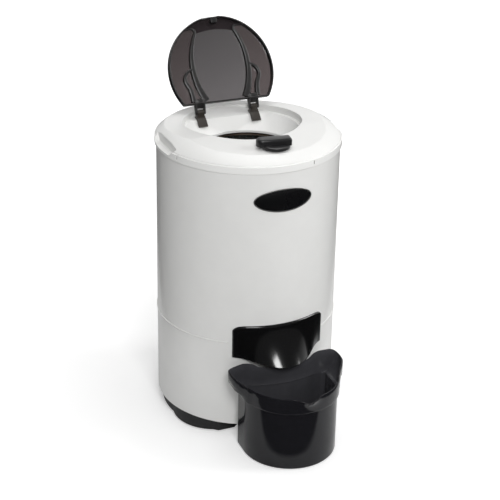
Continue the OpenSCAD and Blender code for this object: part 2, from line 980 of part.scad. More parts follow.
// Loose rinse-water bucket: round front, hollowed back, wider collar, ears and pouring lip.
module bucket() {
    color("#2c2c30")
    translate([bucket_x, bucket_y, 0])
    rotate([0, 0, bucket_turn])
    difference() {
        union() {
            linear_extrude(bucket_rim - 25) bucket_plan(bucket_radius, 0, 0);
            intersection() {
                union() {
                    translate([0, 0, bucket_rim - 31])
                        linear_extrude(31) bucket_plan(bucket_radius + 3.5, bucket_radius + 21, 0);
                    intersection() {
                        linear_extrude(bucket_rim + 8.5)
                            bucket_plan(bucket_radius + 3.5, bucket_radius + 21, 0);
                        side_prism(-200, 200, [
                            [8, bucket_rim - 31], [60, bucket_rim - 31],
                            [60, bucket_rim + 20], [8, bucket_rim + 20]
                        ]);
                        rotate([90, 0, 0])
                            translate([0, bucket_rim - 341.5, -100]) cylinder(r = 350, h = 200);
                    }
                }
                ear_space(0);
            }
            translate([0, 30 - bucket_radius, bucket_rim - 24]) cylinder(r = 39, h = 20);
        }
        translate([0, 0, 3])
            linear_extrude(bucket_rim - 30) bucket_plan(bucket_radius, 0, bucket_wall);
        intersection() {
            translate([0, 0, bucket_rim - 28.8])
                linear_extrude(45) bucket_plan(bucket_radius + 3.5, bucket_radius + 21, bucket_wall);
            ear_space(1.5 * bucket_wall);
        }
        translate([0, 30 - bucket_radius, bucket_rim - 21.8]) cylinder(r = 39 - bucket_wall, h = 40);
    }
}

base_tray();
rubber_feet();
base_screws();
lower_casing();
upper_casing();
top_cover();
cover_clips();
badge_plate();
badge_rim();
spout();
spout_screws();
support_posts();
rubber_mounts();
motor_plate();
stator_core();
stator_windings();
motor_bell_top();
motor_bell_bottom();
motor_bolts();
bearing_upper();
bearing_lower();
tub();
tub_gasket();
shaft_seal();
brake_pivot();
brake_spring();
cable_bracket();
brake_cable();
capacitor();
capacitor_clip();
terminal_block();
wiring_loom();
cable_clips();
cord_gland();
lid_switch();
hinge_bracket_left();
hinge_bracket_right();
motor_shaft();
rotor_core();
cooling_fan();
brake_drum();
drum_hub();
drum_basket();
drum_rim();
drum_nut();
brake_lever();
brake_pad();
lid_panel();
lid_latch_lug();
hinge_pins();
control_knob();
knob_spindle();
latch_arm();
bucket();
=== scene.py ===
"""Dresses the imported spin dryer: casing, cover, lid, knob, spout, bucket, drum and what is inside.

Metres, +Z up, front towards -Y, origin on the drum axis at floor level.
"""

import math

import bmesh
import bpy
from mathutils import Matrix, Vector


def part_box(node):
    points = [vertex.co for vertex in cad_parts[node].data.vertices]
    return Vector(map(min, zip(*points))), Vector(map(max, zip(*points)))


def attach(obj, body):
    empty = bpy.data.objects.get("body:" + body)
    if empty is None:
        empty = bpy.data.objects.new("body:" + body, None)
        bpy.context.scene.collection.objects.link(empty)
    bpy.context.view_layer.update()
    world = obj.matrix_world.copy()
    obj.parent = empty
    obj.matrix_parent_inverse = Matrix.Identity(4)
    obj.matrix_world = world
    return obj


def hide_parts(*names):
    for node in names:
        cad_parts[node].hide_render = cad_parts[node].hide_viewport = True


bl_info = {
    "name": "Spin Dryer",
    "version": (1, 0, 0),
    "blender": (4, 5, 0),
    "location": "View3D > Sidebar > Spin Dryer",
    "description": "Builds an upright spin dryer with lid, knob, spout and rinse bucket",
    "category": "Add Mesh",
}

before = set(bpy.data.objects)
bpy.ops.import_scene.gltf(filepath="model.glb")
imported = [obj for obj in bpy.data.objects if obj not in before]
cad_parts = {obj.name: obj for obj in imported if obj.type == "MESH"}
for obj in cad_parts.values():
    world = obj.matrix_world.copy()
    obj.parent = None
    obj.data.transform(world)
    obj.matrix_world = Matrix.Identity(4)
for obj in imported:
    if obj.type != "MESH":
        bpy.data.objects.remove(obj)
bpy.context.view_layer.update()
mm = 0.001


def linear(code):
    """An sRGB hex colour as the linear numbers that a shader takes."""
    parts = [int(code[i:i + 2], 16) / 255 for i in (1, 3, 5)]
    return tuple(p / 12.92 if p <= 0.04045 else ((p + 0.055) / 1.055) ** 2.4 for p in parts)


def rgba(colour):
    return (*tuple(colour)[:3], 1.0)


# ---------------------------------------------------------------- sizes and colours

def length(name, text, default):
    return bpy.props.FloatProperty(name=name, description=text, default=default,
                                   subtype="DISTANCE", unit="LENGTH", precision=4)


def colour(name, text, code):
    return bpy.props.FloatVectorProperty(name=name, description=text, default=linear(code),
                                         subtype="COLOR", min=0.0, max=1.0, size=3)


class SpinDryerSizes(bpy.types.PropertyGroup):
    """Sizes of the pieces."""
    casing_radius: length("Casing radius", "Outer radius of the sheet casing",
                          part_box("lower_casing")[1].x)
    cover_edge: length("Cover edge", "Rounding of the moulded edges of the cover", 1.1 * mm)
    lid_radius: length("Lid radius", "Radius of the lid's outline", 106 * mm)
    lid_panel: length("Lid panel", "Thickness of the lid's panel", 3 * mm)
    lid_depth: length("Lid depth", "Depth of the lid's rim wall", 13 * mm)
    knob_radius: length("Knob radius", "Radius of the knob's round skirt", 27 * mm)
    spout_reach: length("Spout reach", "How far the spout's nose stands out", 37.5 * mm)
    bucket_radius: length("Bucket radius", "Radius of the round front of the bucket", 90 * mm)
    bucket_rim: length("Bucket rim", "Height of the bucket's rim", 151 * mm)
    bucket_wall: length("Bucket wall", "Thickness of the bucket's wall", 2.2 * mm)
    drum_hole: length("Drum hole", "Radius of the holes in the drum's wall", 2.6 * mm)


class SpinDryerColours(bpy.types.PropertyGroup):
    """Colours of the visible finishes."""
    enamel: colour("Enamel", "Baked enamel of the casing", "#EDEDEB")
    cover: colour("Cover", "Moulded plastic of the cover", "#F4F4F2")
    base: colour("Base", "Plastic of the base", "#1B1B1D")
    spout: colour("Spout", "Glossy plastic of the spout", "#0D0D0E")
    badge: colour("Badge", "Lacquer of the badge", "#0E0E10")
    knob: colour("Knob", "Plastic of the knob", "#232324")
    hinge: colour("Hinge", "Plastic of the hinge brackets", "#37322D")
    smoke: colour("Smoke", "Smoked plastic of the lid's middle", "#8A8687")
    smoke_side: colour("Smoke, sides", "Smoked plastic beside the ribs", "#7A7070")
    smoke_front: colour("Smoke, front", "Smoked plastic of the thicker front", "#332C2E")
    smoke_rib: colour("Smoke, ribs", "Smoked plastic where it is thick", "#1C1A1A")
    bucket: colour("Bucket", "Smoked plastic of the bucket", "#242428")
    bucket_inside: colour("Bucket, inside", "Smoked plastic lit through the walls", "#4A4A4E")


def sizes():
    return bpy.context.scene.spin_dryer_sizes


def tones():
    return bpy.context.scene.spin_dryer_colours


# ---------------------------------------------------------------- working in edit mode

def clear():
    """Leaves edit mode and selects nothing."""
    if bpy.context.object and bpy.context.object.mode != "OBJECT":
        bpy.ops.object.mode_set(mode="OBJECT")
    bpy.ops.object.select_all(action="DESELECT")


def choose(*objects):
    """Selects objects alone, the first as the active one."""
    clear()
    for o in objects:
        o.select_set(True)
    bpy.context.view_layer.objects.active = objects[0]


def named(name):
    """The object just added, applied and renamed."""
    o = bpy.context.object
    o.name = name
    o.data.name = name
    bpy.ops.object.transform_apply()
    return o


def enter(o, kind="VERT", action="DESELECT"):
    """Goes into edit mode with nothing selected, or all of it."""
    choose(o)
    bpy.ops.object.mode_set(mode="EDIT")
    bpy.ops.mesh.select_mode(type=kind)
    bpy.ops.mesh.select_all(action=action)


def leave():
    bpy.ops.object.mode_set(mode="OBJECT")


def extrude(by):
    """Extrudes what is selected along a vector."""
    bpy.ops.mesh.extrude_region_move(TRANSFORM_OT_translate={"value": by})


def pick(o, kind, test):
    """Selects the faces, edges or vertices that pass a test."""
    bpy.ops.mesh.select_all(action="DESELECT")
    data = bmesh.from_edit_mesh(o.data)
    for part in {"FACE": data.faces, "EDGE": data.edges, "VERT": data.verts}[kind]:
        if test(part):
            part.select_set(True)
    bmesh.update_edit_mesh(o.data)


def place(o, where):
    """Moves every vertex to where a function of its place says."""
    for v in o.data.vertices:
        v.co = where(v.co)
    o.data.update()


def merged(o, distance=2e-6):
    """Welds vertices that coincide and turns the faces outwards."""
    enter(o, action="SELECT")
    bpy.ops.mesh.remove_doubles(threshold=distance)
    bpy.ops.mesh.normals_make_consistent(inside=False)
    leave()
    return o


def finish_with(o, kind, **settings):
    """Adds a modifier and applies it."""
    choose(o)
    m = o.modifiers.new(kind, kind)
    for key, value in settings.items():
        setattr(m, key, value)
    bpy.ops.object.modifier_apply(modifier=m.name)
    return o


def rounded(o, width, segments=3, angle=38):
    """Rounds the sharp edges of a piece."""
    return finish_with(o, "BEVEL", width=width, segments=segments, limit_method="ANGLE",
                       angle_limit=math.radians(angle), use_clamp_overlap=False,
                       harden_normals=False, miter_outer="MITER_ARC")


def cut(o, cutter):
    """Cuts one piece with another, which is then thrown away."""
    finish_with(o, "BOOLEAN", object=cutter, operation="DIFFERENCE", solver="EXACT")
    bpy.data.objects.remove(cutter)


def closed(o, bridge=False):
    """Fills a piece's open ends, or joins its two open edges with a strip of faces."""
    enter(o, "EDGE")
    bpy.ops.mesh.select_non_manifold(extend=False, use_boundary=True)
    if bridge:
        bpy.ops.mesh.bridge_edge_loops()
    else:
        bpy.ops.mesh.fill_holes(sides=0)
    leave()
    return o


def joined(name, *objects):
    """Several pieces as one."""
    choose(*objects)
    bpy.ops.object.join()
    objects[0].name = name
    return objects[0]


def chain(name, points):
    """A row of edges through points, extruded one by one from a single vertex."""
    clear()
    points = [Vector(p) for p in points]
    bpy.ops.mesh.primitive_plane_add(size=mm, location=points[0])
    o = named(name)
    enter(o, action="SELECT")
    bpy.ops.mesh.merge(type="CENTER")
    for a, b in zip(points, points[1:]):
        extrude(b - a)
    leave()
    return o


def lathed(name, profile, steps=128):
    """Spins a profile of radius and height round the drum axis."""
    o = chain(name, [(r, 0, z) for r, z in profile])
    enter(o, action="SELECT")
    bpy.ops.mesh.spin(steps=steps, angle=2 * math.pi, center=(0, 0, 0), axis=(0, 0, 1))
    leave()
    return merged(o)


def prism(name, outline, rise):
    """A flat outline of points, raised along a vector."""
    clear()
    bpy.ops.mesh.primitive_circle_add(vertices=len(outline), fill_type="NGON")
    o = named(name)
    for v, p in zip(o.data.vertices, outline):
        v.co = p
    enter(o, action="SELECT")
    extrude(rise)
    leave()
    return merged(o, 1e-7)


def sheet_of(name, columns, rows, where):
    """A grid primitive whose points go where a function of two shares from 0 to 1 says."""
    clear()
    bpy.ops.mesh.primitive_grid_add(x_subdivisions=columns, y_subdivisions=rows, size=2)
    o = named(name)
    place(o, lambda p: where((p.x + 1) / 2, (p.y + 1) / 2))
    return o


def copy_of(node, name, whole=True):
    """A copy of a frame node as a mesh of whole faces, ready to be refined."""
    choose(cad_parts[node])
    bpy.ops.object.duplicate()
    o = bpy.context.object
    o.parent = None
    o.matrix_world = Matrix.Identity(4)
    o.data.materials.clear()
    for key in [k for k in o.keys() if k.startswith("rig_")]:
        del o[key]
    o.name = name
    o.data.name = name
    merged(o)
    if whole:
        enter(o, action="SELECT")
        bpy.ops.mesh.dissolve_limited(angle_limit=math.radians(0.4))
        leave()
    return o


def smooth(o, angle):
    """Shades a piece smooth, with sharp edges above an angle."""
    choose(o)
    bpy.ops.object.shade_smooth_by_angle(angle=math.radians(angle))


def settle(o, body, material, nodes=(), angle=32):
    """Finishes a piece: normals, material, body and the nodes it stands for.

    Without an angle its normals stay, and without a material its own materials do.
    """
    if angle is not None:
        smooth(o, angle)
    if material is not None:
        o.data.materials.clear()
        o.data.materials.append(material)
    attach(o, body)
    if nodes:
        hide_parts(*nodes)
    clear()


def soften(node, name, width, key, segments=3):
    """Puts a copy with rounded edges, its width in mm, in the place of a node of the housing."""
    piece = rounded(copy_of(node, name), width * mm, segments)
    settle(piece, "housing", finishes[key], [node])


def finish_node(node, material):
    """Gives a frame node its finish."""
    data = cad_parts[node].data
    data.materials.clear()
    data.materials.append(material)


# ---------------------------------------------------------------- finishes

# Smoked styrene: its refraction, and the size and depth of its flow marks.
STYRENE_IOR = 1.57
FLOW_SIZE, FLOW_DEPTH = 25 * mm, 0.05 * mm
# The lid's hinge line, and the circle of each curved rib in mm: centre across and along, radius.
LID_HINGE = (0, 107.9 * mm, 567.9 * mm)
RIB_ARC = (-83.5, 85, 140.5)
# The direction in which the panel grows paler with painted reflection (downwards and to the right), and
# where along it that starts and ends.
REFLECTION_SLOPE = (0.45, 0.0, -1.0)
REFLECTION_FADE = (-0.745, -0.585)


def add(tree, kind, values):
    """Adds a node; each value is a setting, an input's number or a socket to link."""
    node = tree.nodes.new("ShaderNode" + kind)
    for key, value in values.items():
        if isinstance(key, str) and key not in node.inputs:
            setattr(node, key, value)
        elif isinstance(value, bpy.types.NodeSocket):
            tree.links.new(value, node.inputs[key])
        else:
            node.inputs[key].default_value = value
    return node


def calc(tree, operation, *values):
    """The result of a Math node."""
    return add(tree, "Math", {"operation": operation, **dict(enumerate(values))}).outputs[0]


def measure(tree, operation, *values):
    """The length or dot product from a VectorMath node."""
    return add(tree, "VectorMath", {"operation": operation, **dict(enumerate(values))}).outputs["Value"]


def new_finish(name):
    """An empty material; returns it and its tree."""
    m = bpy.data.materials.new(name)
    m.use_nodes = True
    m.node_tree.nodes.clear()
    return m, m.node_tree


def grain(tree, size, detail=3.0):
    """Noise whose cells are about a real size across, in metres."""
    here = add(tree, "TexCoord", {}).outputs["Object"]
    return add(tree, "TexNoise", {"Vector": here, "Scale": 1 / size, "Detail": detail,
                                  "Roughness": 0.55}).outputs[0]


def spread(tree, value, low, high, start=0.3, end=0.7):
    """A value mapped from start and end onto low and high."""
    return add(tree, "MapRange", {"Value": value, "From Min": start, "From Max": end,
                                  "To Min": low, "To Max": high}).outputs[0]


def shaded(tree, tone, dark, share):
    """A colour that drifts a little towards a darker one."""
    return add(tree, "Mix", {"data_type": "RGBA", 0: share, 6: rgba(tone), 7: rgba(dark)}).outputs[2]


def relief(tree, height, depth, strength):
    """A normal from heights of 0 to 1 that stand for a depth in metres."""
    return add(tree, "Bump", {"Strength": strength, "Distance": depth, "Height": height}).outputs[0]


def skinned(m, values):
    """Gives a material its shader; returns the material."""
    skin = add(m.node_tree, "BsdfPrincipled", values)
    add(m.node_tree, "OutputMaterial", {"Surface": skin.outputs[0]})
    return m


def moulded(name, tone, rough, grit=0.6 * mm, depth=0.02 * mm, gloss=0.0, drift=0.06):
    """Moulded plastic or rubber: fine spark-eroded grain, faint cloudy drift of colour and gloss."""
    m, tree = new_finish(name)
    cloud = grain(tree, 40 * mm)
    fine = grain(tree, grit, 2.0)
    dark = [c * (1 - 3 * drift) for c in tone]
    return skinned(m, {
        "Base Color": shaded(tree, tone, dark, spread(tree, cloud, 0.0, 0.6)),
        "Roughness": spread(tree, cloud, rough * 0.9, rough * 1.12),
        "IOR": 1.5, "Coat Weight": gloss, "Coat Roughness": 0.08,
        "Normal": relief(tree, fine, depth, 0.5)})


def metal(name, code, rough, stretch=(1, 1, 1), grit=0.8 * mm, depth=0.01 * mm, dark=0.75):
    """Metal with a drawn, ground or cast surface; stretch draws the grain out along an axis."""
    m, tree = new_finish(name)
    here = add(tree, "TexCoord", {}).outputs["Object"]
    drawn = add(tree, "Mapping", {"Vector": here, "Scale": stretch})
    lines = add(tree, "TexNoise", {"Vector": drawn.outputs[0], "Scale": 1 / grit,
                                   "Detail": 3.0}).outputs[0]
    tone = linear(code)
    return skinned(m, {
        "Base Color": shaded(tree, tone, [c * dark for c in tone], spread(tree, lines, 0.0, 0.8)),
        "Metallic": 1.0, "Roughness": spread(tree, lines, rough * 0.8, rough * 1.25),
        "Normal": relief(tree, lines, depth, 0.4)})


def smoked(name, tone, rough, clear_share, level=0.5):
    """Smoked see-through styrene, polished in the mould, with faint flow marks."""
    m, tree = new_finish(name)
    flow = grain(tree, FLOW_SIZE, 2.0)
    return skinned(m, {
        "Base Color": shaded(tree, tone, [c * 0.88 for c in tone], spread(tree, flow, 0.0, 1.0)),
        "Roughness": rough, "IOR": STYRENE_IOR, "Transmission Weight": clear_share,
        "Specular IOR Level": level, "Normal": relief(tree, flow, FLOW_DEPTH, 0.15)})


def smoked_panel(name, tone, side_tone, rough, clear_share):
    """The lid's panel: clearer between the two curved ribs, browner beside them, paler downwards and to
    the right with painted reflection.
    """
    m, tree = new_finish(name)
    here = add(tree, "TexCoord", {}).outputs["Object"]
    from_hinge = add(tree, "VectorMath", {"operation": "SUBTRACT", 0: here, 1: LID_HINGE}).outputs[0]
    upright = add(tree, "VectorMath", {"operation": "MULTIPLY", 0: from_hinge, 1: (0, 1, 1)}).outputs[0]
    # A circle through each rib gives the place across at which the sides begin.
    across, along, radius = (n * mm for n in RIB_ARC)
    from_middle = calc(tree, "SUBTRACT", measure(tree, "LENGTH", upright), along)
    squared = calc(tree, "MULTIPLY", from_middle, from_middle)
    reach = calc(tree, "SQRT", calc(tree, "SUBTRACT", radius ** 2, squared))
    sideways = calc(tree, "ABSOLUTE", add(tree, "SeparateXYZ", {0: here}).outputs[0])
    beyond = calc(tree, "SUBTRACT", sideways, reach)
    beside = spread(tree, beyond, 0.0, 1.0, across - mm, across)
    # Painted reflection: the panel's colour grows paler downwards and to the right, standing in for light
    # mirrored in it.
    reflection_along = measure(tree, "DOT_PRODUCT", here, REFLECTION_SLOPE)
    painted_reflection = spread(tree, reflection_along, 0.0, 1.0, *REFLECTION_FADE)
    panes = [shaded(tree, [c * 0.78 for c in t], [c * 1.3 for c in t], painted_reflection) for t in (tone, side_tone)]
    both = add(tree, "Mix", {"data_type": "RGBA", 0: beside, 6: panes[0], 7: panes[1]})
    flow = grain(tree, FLOW_SIZE, 2.0)
    return skinned(m, {
        "Base Color": both.outputs[2], "Roughness": rough, "IOR": STYRENE_IOR,
        "Transmission Weight": clear_share, "Normal": relief(tree, flow, FLOW_DEPTH, 0.15)})


finishes = {}


def make_finishes():
    """All the finishes, each named for the real material."""
    c = tones()
    # Baked white enamel on sheet steel: soft gloss with a slight orange-peel skin, cells 2.5 mm.
    finishes["enamel"] = moulded("baked_enamel_on_steel", c.enamel, 0.33, 2.5 * mm, 0.02 * mm,
                                 gloss=0.35, drift=0.015)
    # White ABS of the cover: satin from the mould, a faint swell 3 mm across.
    finishes["cover"] = moulded("moulded_white_abs", c.cover, 0.33, 3 * mm, 0.006 * mm, drift=0.01)
    # Black polypropylene of the base: dull, eroded grain 1 mm.
    finishes["base"] = moulded("moulded_black_polypropylene", c.base, 0.55, 1.0 * mm, 0.04 * mm)
    # Black ABS of the spout: polished mould, sharp reflections.
    finishes["spout"] = moulded("polished_black_abs", c.spout, 0.17, 6 * mm, 0.02 * mm, gloss=0.3)
    # Lacquered badge under a clear coat.
    finishes["badge"] = moulded("black_lacquer", c.badge, 0.28, 4 * mm, 0.01 * mm, gloss=0.6)
    # Satin silver print on the rim of the badge.
    finishes["badge_rim"] = metal("satin_silver_foil", "#B9B9B7", 0.35)
    # Charcoal nylon of the knob: fine dull grain 0.7 mm.
    finishes["knob"] = moulded("grained_charcoal_nylon", c.knob, 0.3, 0.7 * mm, 0.012 * mm)
    # Acetal of the hinge brackets and the lug: close grain 0.8 mm.
    finishes["hinge"] = moulded("brown_black_acetal", c.hinge, 0.38, 0.8 * mm, 0.02 * mm)
    finishes["lug"] = moulded("black_acetal", linear("#121213"), 0.4, 0.8 * mm, 0.02 * mm)
    # The lid's styrene: clear in the panel, with painted reflection that makes it paler downwards, dark
    # where it is thick.
    finishes["smoke"] = smoked_panel("smoked_styrene", c.smoke, c.smoke_side, 0.12, 1.0)
    finishes["smoke_front"] = smoked("smoked_styrene_front", c.smoke_front, 0.15, 0.3)
    finishes["smoke_rib"] = smoked("smoked_styrene_thick", c.smoke_rib, 0.36, 0.1)
    # The bucket's plastic is nearly black outside and paler inside, where light comes through.
    finishes["bucket"] = smoked("smoked_styrene_bucket", c.bucket, 0.10, 0.35, level=0.2)
    finishes["bucket_inside"] = smoked("smoked_styrene_bucket_inside", c.bucket_inside, 0.16, 0.1,
                                       level=0.3)
    # Rubber with mould release dust, grain 1.2 mm.
    finishes["rubber"] = moulded("black_rubber", linear("#151515"), 0.75, 1.2 * mm, 0.05 * mm)
    # Zinc plated sheet steel, clear passivated, with rolled lines.
    finishes["zinc"] = metal("zinc_plated_steel", "#B5B8BB", 0.38, (1, 1, 1), 5 * mm)
    # Ground shaft and bearing steel.
    finishes["steel"] = metal("ground_bearing_steel", "#C3C6C9", 0.22, (1, 1, 6), 1.5 * mm)
    # Stacked core sheets 0.65 mm thick, drawn as 1.5 mm lines so that they show.
    finishes["core"] = metal("laminated_core_steel", "#6B6E72", 0.45, (0.03, 0.03, 1), 1.5 * mm,
                             0.15 * mm, 0.5)
    # Enamelled copper wire, turns 0.8 mm.
    finishes["copper"] = metal("enamelled_copper_wire", "#B4652F", 0.3, (0.15, 0.15, 1), 0.8 * mm,
                               0.2 * mm, 0.55)
    # Die-cast aluminium alloy with a slightly pebbled skin, 1.5 mm.
    finishes["cast"] = metal("die_cast_aluminium", "#A9ABAD", 0.48, (1, 1, 1), 1.5 * mm, 0.05 * mm)
    # Unpigmented polypropylene of the tub.
    finishes["tub"] = moulded("natural_polypropylene", linear("#CDD3D3"), 0.42, 1.5 * mm, 0.02 * mm)
    # Brushed stainless sheet of the drum, brushed round the axis.
    finishes["drum"] = metal("brushed_stainless_sheet", "#C2C2C0", 0.3, (0.04, 0.04, 1), 0.7 * mm)
    # Brown anodised ring, seen through the funnel.
    finishes["drum_rim"] = metal("dark_anodised_aluminium", "#8F8073", 0.35, (0.1, 0.1, 1), 1 * mm)
    # Sheath, sleeve, clips and brake lining.
    finishes["cable"] = moulded("black_cable_sheath", linear("#1A1A1A"), 0.5, 1 * mm, 0.02 * mm)
    finishes["wire"] = moulded("grey_pvc_sleeve", linear("#6F7071"), 0.45, 1.2 * mm, 0.02 * mm)
    finishes["ivory"] = moulded("ivory_polyamide", linear("#E5DFCF"), 0.42, 1 * mm, 0.02 * mm)
    finishes["lining"] = moulded("woven_friction_lining", linear("#5A4A3D"), 0.8, 1.5 * mm, 0.15 * mm)


# ---------------------------------------------------------------- operators

# The camera: degrees down, rolled and turned, then the height it looks at, its distance and its
# shift to the side in metres, and its lens in mm.
CAMERA_PITCH, CAMERA_ROLL, CAMERA_TURN = 25.01, 1.09, 22.98
CAMERA_AIM, CAMERA_AWAY, CAMERA_ASIDE = 0.31544, 2.8303, 0.00713
CAMERA_LENS = 105.16
# Level direction away from the camera.
REAR = (0.390, 0.921)
# The room's plain level, its level when mirrored in front, and where along REAR it brightens.
AMBIENT = 0.26
ROOM_DIM = 0.1
ROOM_FADE = (-0.15, 0.35)
# The sheet's front and side edges in metres, with the width over which each one fades.
SHEET_EDGE, SHEET_EDGE_FADE = 0.312, 0.02
SHEET_SIDE, SHEET_SIDE_FADE = 0.42, 0.06
# The sheet's glow near the machine and far away, and the distances between which it grows.
PAPER_GLOW = (0.36, 0.9)
PAPER_REACH = (0.25, 1.3)
# Name, place, size and power of each soft lamp, and the height on the axis that they face.
LAMPS = (("key_front", (-0.55, -2.3, 2.0), 0.8, 33), ("side_right", (2.1, -0.9, 1.7), 0.9, 19),
         ("top", (0.1, 0.2, 2.6), 1.6, 15))
LAMP_AIM = (0, 0, 0.35)


def put_camera(scene):
    """Puts the camera at the photograph's angle."""
    pitch, roll, turn = (math.radians(a) for a in (CAMERA_PITCH, CAMERA_ROLL, CAMERA_TURN))
    aim = (Matrix.Rotation(-turn, 3, "Z") @ Matrix.Rotation(math.pi / 2 - pitch, 3, "X")
           @ Matrix.Rotation(roll, 3, "Z"))
    spot = Vector((0, 0, CAMERA_AIM)) + aim.col[2] * CAMERA_AWAY + aim.col[0] * CAMERA_ASIDE
    camera = bpy.data.objects.new("camera", bpy.data.cameras.new("camera"))
    scene.collection.objects.link(camera)
    camera.matrix_world = Matrix.Translation(spot) @ aim.to_4x4()
    camera.data.sensor_width = 36
    camera.data.lens = CAMERA_LENS
    camera.data.clip_end = 50
    scene.camera = camera


def light_room(scene):
    """The room: white wherever it is seen, dim in front of the sheet when it is mirrored."""
    world = bpy.data.worlds.new("studio")
    scene.world = world
    world.use_nodes = True
    tree = world.node_tree
    tree.nodes.clear()
    rays = add(tree, "LightPath", {}).outputs
    heading = add(tree, "TexCoord", {}).outputs["Generated"]
    behind = measure(tree, "DOT_PRODUCT", heading, (*REAR, 0.0))
    mirrored = calc(tree, "MULTIPLY", rays["Is Glossy Ray"],
                    spread(tree, behind, ROOM_DIM, 1.0, *ROOM_FADE))
    seen = calc(tree, "MAXIMUM", rays["Is Camera Ray"], rays["Is Transmission Ray"])
    level = spread(tree, seen, AMBIENT, 1.0, 0.0, 1.0)
    rest = calc(tree, "MULTIPLY", level, calc(tree, "SUBTRACT", 1.0, rays["Is Glossy Ray"]))
    sky = add(tree, "Background", {"Color": (1, 1, 1, 1), "Strength": calc(tree, "ADD", rest, mirrored)})
    add(tree, "OutputWorld", {"Surface": sky.outputs[0]})


def studio_paper():
    """Pale paper: mirrored, it ends at a straight front edge; seen, it brightens into the distance."""
    paper, tree = new_finish("pale_studio_paper")
    rays = add(tree, "LightPath", {}).outputs
    here = add(tree, "TexCoord", {}).outputs["Object"]
    ahead = measure(tree, "DOT_PRODUCT", here, (-REAR[0], -REAR[1], 0.0))
    beside = calc(tree, "ABSOLUTE", measure(tree, "DOT_PRODUCT", here, (REAR[1], -REAR[0], 0.0)))
    off_sheet = calc(tree, "MAXIMUM",
                     spread(tree, ahead, 0.0, 1.0, SHEET_EDGE, SHEET_EDGE + SHEET_EDGE_FADE),
                     spread(tree, beside, 0.0, 1.0, SHEET_SIDE, SHEET_SIDE + SHEET_SIDE_FADE))
    unlit = calc(tree, "MULTIPLY", rays["Is Glossy Ray"], off_sheet)
    dull = add(tree, "BsdfDiffuse", {"Color": shaded(tree, linear("#F3F3F3"), (0.01, 0.01, 0.01), unlit)})
    far = spread(tree, measure(tree, "LENGTH", here), *PAPER_GLOW, *PAPER_REACH)
    glow = add(tree, "Emission", {"Color": (1, 1, 1, 1),
                                  "Strength": calc(tree, "MULTIPLY", rays["Is Camera Ray"], far)})
    both = add(tree, "AddShader", {0: dull.outputs[0], 1: glow.outputs[0]})
    add(tree, "OutputMaterial", {"Surface": both.outputs[0]})
    return paper


class SPINDRYER_OT_stage(bpy.types.Operator):
    """Lays the pale floor, hangs the soft lamps and puts the camera at the photograph's angle"""
    bl_idname = "spindryer.stage"
    bl_label = "Stage"

    def execute(self, context):
        scene = context.scene
        scene.view_settings.view_transform = "Standard"
        put_camera(scene)
        light_room(scene)
        clear()
        bpy.ops.mesh.primitive_plane_add(size=12, location=(0, 2.5, 0))
        floor = named("floor")
        floor.data.materials.append(studio_paper())
        for name, at, size, power in LAMPS:
            lamp = bpy.data.objects.new(name, bpy.data.lights.new(name, "AREA"))
            scene.collection.objects.link(lamp)
            lamp.data.size = size
            lamp.data.energy = power
            lamp.location = at
            lamp.rotation_euler = (Vector(LAMP_AIM) - Vector(at)).to_track_quat("-Z", "Y").to_euler()
        return {"FINISHED"}


class SPINDRYER_OT_casing(bpy.types.Operator):
    """Finishes the two sheet drums of the casing and the base with its feet"""
    bl_idname = "spindryer.casing"
    bl_label = "Casing and base"

    def execute(self, context):
        for node in ("lower_casing", "upper_casing"):
            finish_node(node, finishes["enamel"])
        soften("base_tray", "base_moulding", 1.2, "base")
        soften("rubber_feet", "moulded_feet", 0.6, "rubber")
        soften("cord_gland", "gland", 0.6, "base")
        return {"FINISHED"}


class SPINDRYER_OT_cover(bpy.types.Operator):
    """Moulds the top cover with soft edges and the blank oval badge"""
    bl_idname = "spindryer.cover"
    bl_label = "Cover and badge"

    def execute(self, context):
        # Weighted normals keep the shading of the broad, slightly curved faces even.
        cover = rounded(copy_of("top_cover", "cover_moulding", False), sizes().cover_edge, 3, 30)
        smooth(cover, 24)
        finish_with(cover, "WEIGHTED_NORMAL", keep_sharp=True, weight=80)
        settle(cover, "housing", finishes["cover"], ["top_cover"], None)
        soften("badge_plate", "badge_lacquer", 0.35, "badge", 2)
        soften("badge_rim", "badge_border", 0.4, "badge_rim", 2)
        return {"FINISHED"}


# The spout's hood: degrees to each side and of turn, then in mm the heights of its upper and lower
# edge, how far its corners fall and its nose hangs, the edges' rounding and the wall.
SPOUT_HALF, SPOUT_TURN = 32.0, 1.4
SPOUT_TOP, SPOUT_LOW = 240, 174
SPOUT_CORNER, SPOUT_NOSE = 10, 8
SPOUT_EDGE, SPOUT_WALL = 2.8, 2.4
# Share of the height and degrees over which the edges round off.
SPOUT_FALL_EDGE, SPOUT_SIDE_EDGE = 0.07, 1.6


def swell(angle):
    """The nose's share of its full reach at an angle from its middle, in degrees."""
    return 0.0 if abs(angle) >= 30 else math.cos(math.radians(3 * angle)) ** 2


def spout_skin(inner):
    """A function of two shares that gives the points of the hood's outer or inner skin."""
    radius, reach = sizes().casing_radius, sizes().spout_reach

    def where(a, t):
        angle = SPOUT_HALF * (2 * a - 1)
        top = SPOUT_TOP * mm - SPOUT_CORNER * mm * (abs(angle) / SPOUT_HALF) ** 14
        low = SPOUT_LOW * mm - SPOUT_NOSE * mm * swell(angle)
        fall = 1 - t
        edge = min(1.0, fall / SPOUT_FALL_EDGE, (SPOUT_HALF - abs(angle)) / SPOUT_SIDE_EDGE)
        lip = SPOUT_EDGE * mm * math.sqrt(max(0.0, 1 - (1 - edge) ** 2)) + 0.3 * mm
        r = radius + lip + reach * swell(angle) * fall ** 1.6
        if inner:
            r = max(radius + 0.05 * mm, r - SPOUT_WALL * mm)
        turn = math.radians(angle + SPOUT_TURN)
        return Vector((r * math.sin(turn), -r * math.cos(turn), top + (low - top) * fall))
    return where


